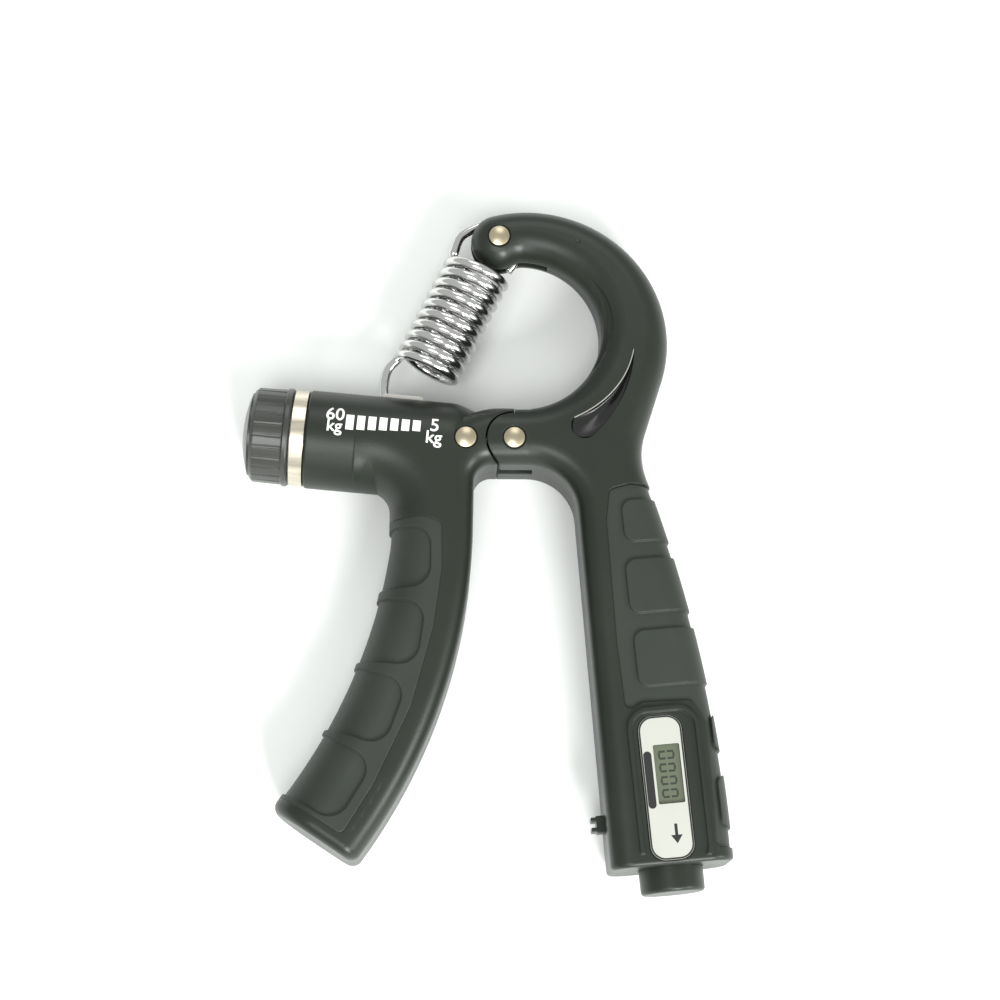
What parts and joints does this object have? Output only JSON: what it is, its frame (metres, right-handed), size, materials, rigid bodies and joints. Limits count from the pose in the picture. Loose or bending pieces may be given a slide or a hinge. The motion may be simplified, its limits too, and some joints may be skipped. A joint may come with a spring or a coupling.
{
  "type": "adjustable hand grip strengthener",
  "caption": "Spring-loaded hand grip strengthener: two hinged handles with rubber pads, a hook arm, a tension spring set by a knob, and a squeeze counter.",
  "frame": {"origin": "centre of the outline's bounding box, on the plane the back of the grip rests on", "axes": "+Z towards the counter's face, through the thickness; +Y from the handle ends to the hook arm; +X from the adjusting knob to the palm handle"},
  "size_m": [0.117, 0.1684, 0.0247],
  "materials": {
    "casing": "satin, fine texture",
    "grip_rubber": "matte moulded rubber",
    "accent": "polished",
    "knob": "satin",
    "rivet_steel": "satin champagne nickel",
    "plain_steel": "zinc plated",
    "spring_steel": "bright",
    "collar": "turned and brushed",
    "bushing": "machined",
    "label": "printed film",
    "display": "grey liquid crystal",
    "board": "solder mask",
    "button": "satin",
    "bearing_plastic": "natural acetal"
  },
  "bodies": {
    "palm_handle": {"arm_front_shell": "casing", "arm_rear_shell": "casing", "palm_pad": "grip_rubber", "accent_inlay_front": "accent", "accent_inlay_rear": "accent", "hanger_rivet": "rivet_steel", "pivot_rivet": "rivet_steel", "arm_screws": "plain_steel", "counter_label": "label", "counter_housing": "casing", "lcd_panel": "display", "circuit_board": "board", "button_cell": "plain_steel", "battery_contact": "plain_steel", "plunger_spring": "spring_steel", "reset_spring": "spring_steel"},
    "finger_lever": {"lever_front_shell": "casing", "lever_rear_shell": "casing", "hinge_plate": "plain_steel", "pivot_bush": "bushing", "finger_pad": "grip_rubber", "lever_rivet": "rivet_steel", "collar_ring": "collar", "thrust_washer": "bearing_plastic", "screw_bushing": "bushing", "lever_screws": "plain_steel"},
    "adjuster": {"adjust_knob": "knob", "knob_cap": "knob", "knob_nut": "plain_steel", "lead_screw": "plain_steel", "retaining_clip": "plain_steel"},
    "spring_carriage": {"carriage": "bearing_plastic"},
    "carriage_pin": {"carriage_pin": "plain_steel"},
    "spring_foot": {"spring_lower": "spring_steel"},
    "spring_centre": {"spring_middle": "spring_steel"},
    "spring_head": {"spring_upper": "spring_steel"},
    "hanger_sleeve": {"hanger_sleeve": "bearing_plastic"},
    "count_plunger": {"count_plunger": "button"},
    "reset_button": {"reset_knob": "button", "reset_stem": "button"}
  },
  "joints": [
    {"name": "handle_squeeze", "type": "hinge", "parent": "palm_handle", "child": "finger_lever", "pos_m": [0.0073, 0.0239, 0.012], "axis": [0, 0, 1], "range_deg": [0, 29], "stiffness_Nm_per_rad": 20},
    {"name": "knob_turn", "type": "hinge", "parent": "finger_lever", "child": "adjuster", "pos_m": [0.00711, 0.02171, 0.012], "axis": [-0.9962, 0.0872, 0], "range_deg": [-1872, 720]},
    {"name": "carriage_travel", "type": "slide", "parent": "finger_lever", "child": "spring_carriage", "axis": [-0.9962, 0.0872, 0], "range_m": [-0.00403, 0.01043]},
    {"name": "pin_turn", "type": "hinge", "parent": "spring_carriage", "child": "carriage_pin", "pos_m": [-0.02061, 0.03307, 0.012], "axis": [0, 0, 1], "range_deg": [-7.96, 3.07]},
    {"name": "spring_foot_turn", "type": "hinge", "parent": "carriage_pin", "child": "spring_foot", "pos_m": [-0.02061, 0.03307, 0.012], "axis": [0, 0, 1], "range_deg": [-22.31, 0.04], "deforming": ["spring_lower"]},
    {"name": "spring_stretch", "type": "slide", "parent": "spring_foot", "child": "spring_centre", "axis": [0.4909, 0.8712, 0], "range_m": [-0.00003, 0.01421], "deforming": ["spring_middle"]},
    {"name": "spring_preload", "type": "slide", "parent": "spring_centre", "child": "spring_head", "axis": [0.4909, 0.8712, 0], "range_m": [-0.00245, 0.00634], "deforming": ["spring_upper"]},
    {"name": "sleeve_turn", "type": "hinge", "parent": "palm_handle", "child": "hanger_sleeve", "pos_m": [0.00377, 0.07633, 0.012], "axis": [0, 0, 1], "range_deg": [-0.01, 5.87]},
    {"name": "plunger_press", "type": "slide", "parent": "palm_handle", "child": "count_plunger", "axis": [0.9966, 0.0824, 0], "range_m": [0, 0.0018], "stiffness_N_per_m": 300, "deforming": ["plunger_spring"]},
    {"name": "reset_press", "type": "slide", "parent": "palm_handle", "child": "reset_button", "axis": [-0.0958, 0.9954, 0], "range_m": [0, 0.001], "stiffness_N_per_m": 600, "deforming": ["reset_spring"]}
  ],
  "couplings": [
    {"joint": "carriage_travel", "follows": "knob_turn", "m_per_rad": -0.00031831},
    {"joint": "pin_turn", "follows": "knob_turn", "ratio": 0.0042388},
    {"joint": "spring_foot_turn", "follows": "handle_squeeze", "ratio": -0.76789},
    {"joint": "spring_stretch", "follows": "handle_squeeze", "m_per_rad": 0.028018},
    {"joint": "spring_preload", "follows": "knob_turn", "m_per_rad": -0.00019336},
    {"joint": "sleeve_turn", "follows": "handle_squeeze", "ratio": 0.2021}
  ]
}
